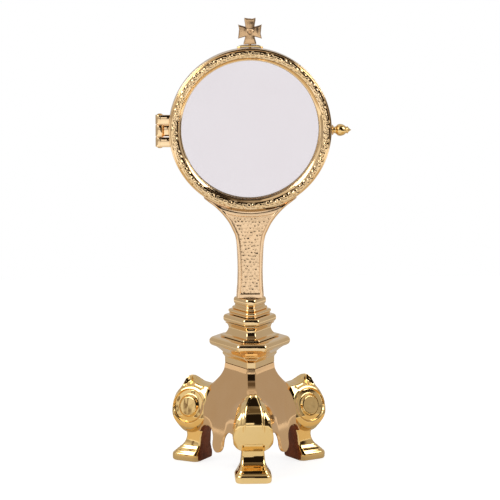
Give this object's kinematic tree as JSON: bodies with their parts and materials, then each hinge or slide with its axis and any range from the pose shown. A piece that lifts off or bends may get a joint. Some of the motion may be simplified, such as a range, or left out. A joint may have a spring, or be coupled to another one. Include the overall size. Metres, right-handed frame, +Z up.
{
  "type": "monstrance",
  "caption": "Table monstrance: scroll-footed three-sided cast base, moulded knop, flat stem and a round glazed case with a hinged front ring, side latch screw and small cross.",
  "frame": {"origin": "middle of the bottom of the object's box, on the surface that it stands on; the stem's axis stands at X -2.05 mm, Y +8.295 mm", "axes": "+Z up along the stem, -Y the front with the hinged ring, +X towards the latch screw"},
  "size_m": [0.1164, 0.0832, 0.27],
  "materials": {
    "gilt_casting": "gold-plated cast brass, polished, soft casting ripples",
    "gilt_polished": "gold-plated brass, bright polish",
    "gilt_engraved": "gold-plated brass, chased leaf scrolls, polished high spots",
    "gilt_hammered": "gold-plated brass, hammered panel inside a polished border",
    "plain_brass": "turned brass, satin",
    "steel": "zinc-plated steel, satin",
    "clear_glass": "clear flat glass"
  },
  "bodies": {
    "stand": {"base_shell": "gilt_casting", "foot_front": "gilt_casting", "foot_right": "gilt_casting", "foot_left": "gilt_casting", "foot_screw_front": "steel", "foot_screw_right": "steel", "foot_screw_left": "steel", "neck_moulding": "gilt_polished", "lower_plate": "gilt_polished", "waist": "gilt_polished", "upper_plate": "gilt_polished", "stem_collar": "gilt_polished", "tie_rod": "steel", "tie_washer": "steel", "tie_nut": "steel", "stem_blade": "gilt_hammered", "stem_screw_1": "steel", "stem_screw_2": "steel", "case_ring": "gilt_engraved", "rear_glass": "clear_glass", "host_ring": "gilt_polished", "hinge_pin": "plain_brass", "cross_foot": "gilt_polished", "cross": "gilt_polished"},
    "door": {"door_bezel": "gilt_engraved", "front_glass": "clear_glass", "glass_retainer": "plain_brass"},
    "latch_slide": {"latch_washer": "gilt_polished"},
    "latch_screw": {"latch_knob": "gilt_polished"}
  },
  "joints": [
    {"name": "door_swing", "type": "hinge", "parent": "stand", "child": "door", "pos_m": [-0.05555, 0.0083, 0.2034], "axis": [0, 0, -1], "range_deg": [0, 120]},
    {"name": "latch_travel", "type": "slide", "parent": "stand", "child": "latch_slide", "axis": [1, 0, 0], "range_m": [0, 0.00105]},
    {"name": "latch_turn", "type": "hinge", "parent": "latch_slide", "child": "latch_screw", "pos_m": [0.05, 0.0083, 0.2034], "axis": [1, 0, 0], "range_deg": [0, 540]}
  ],
  "couplings": [
    {"joint": "latch_turn", "follows": "latch_travel", "rad_per_m": 8976}
  ]
}
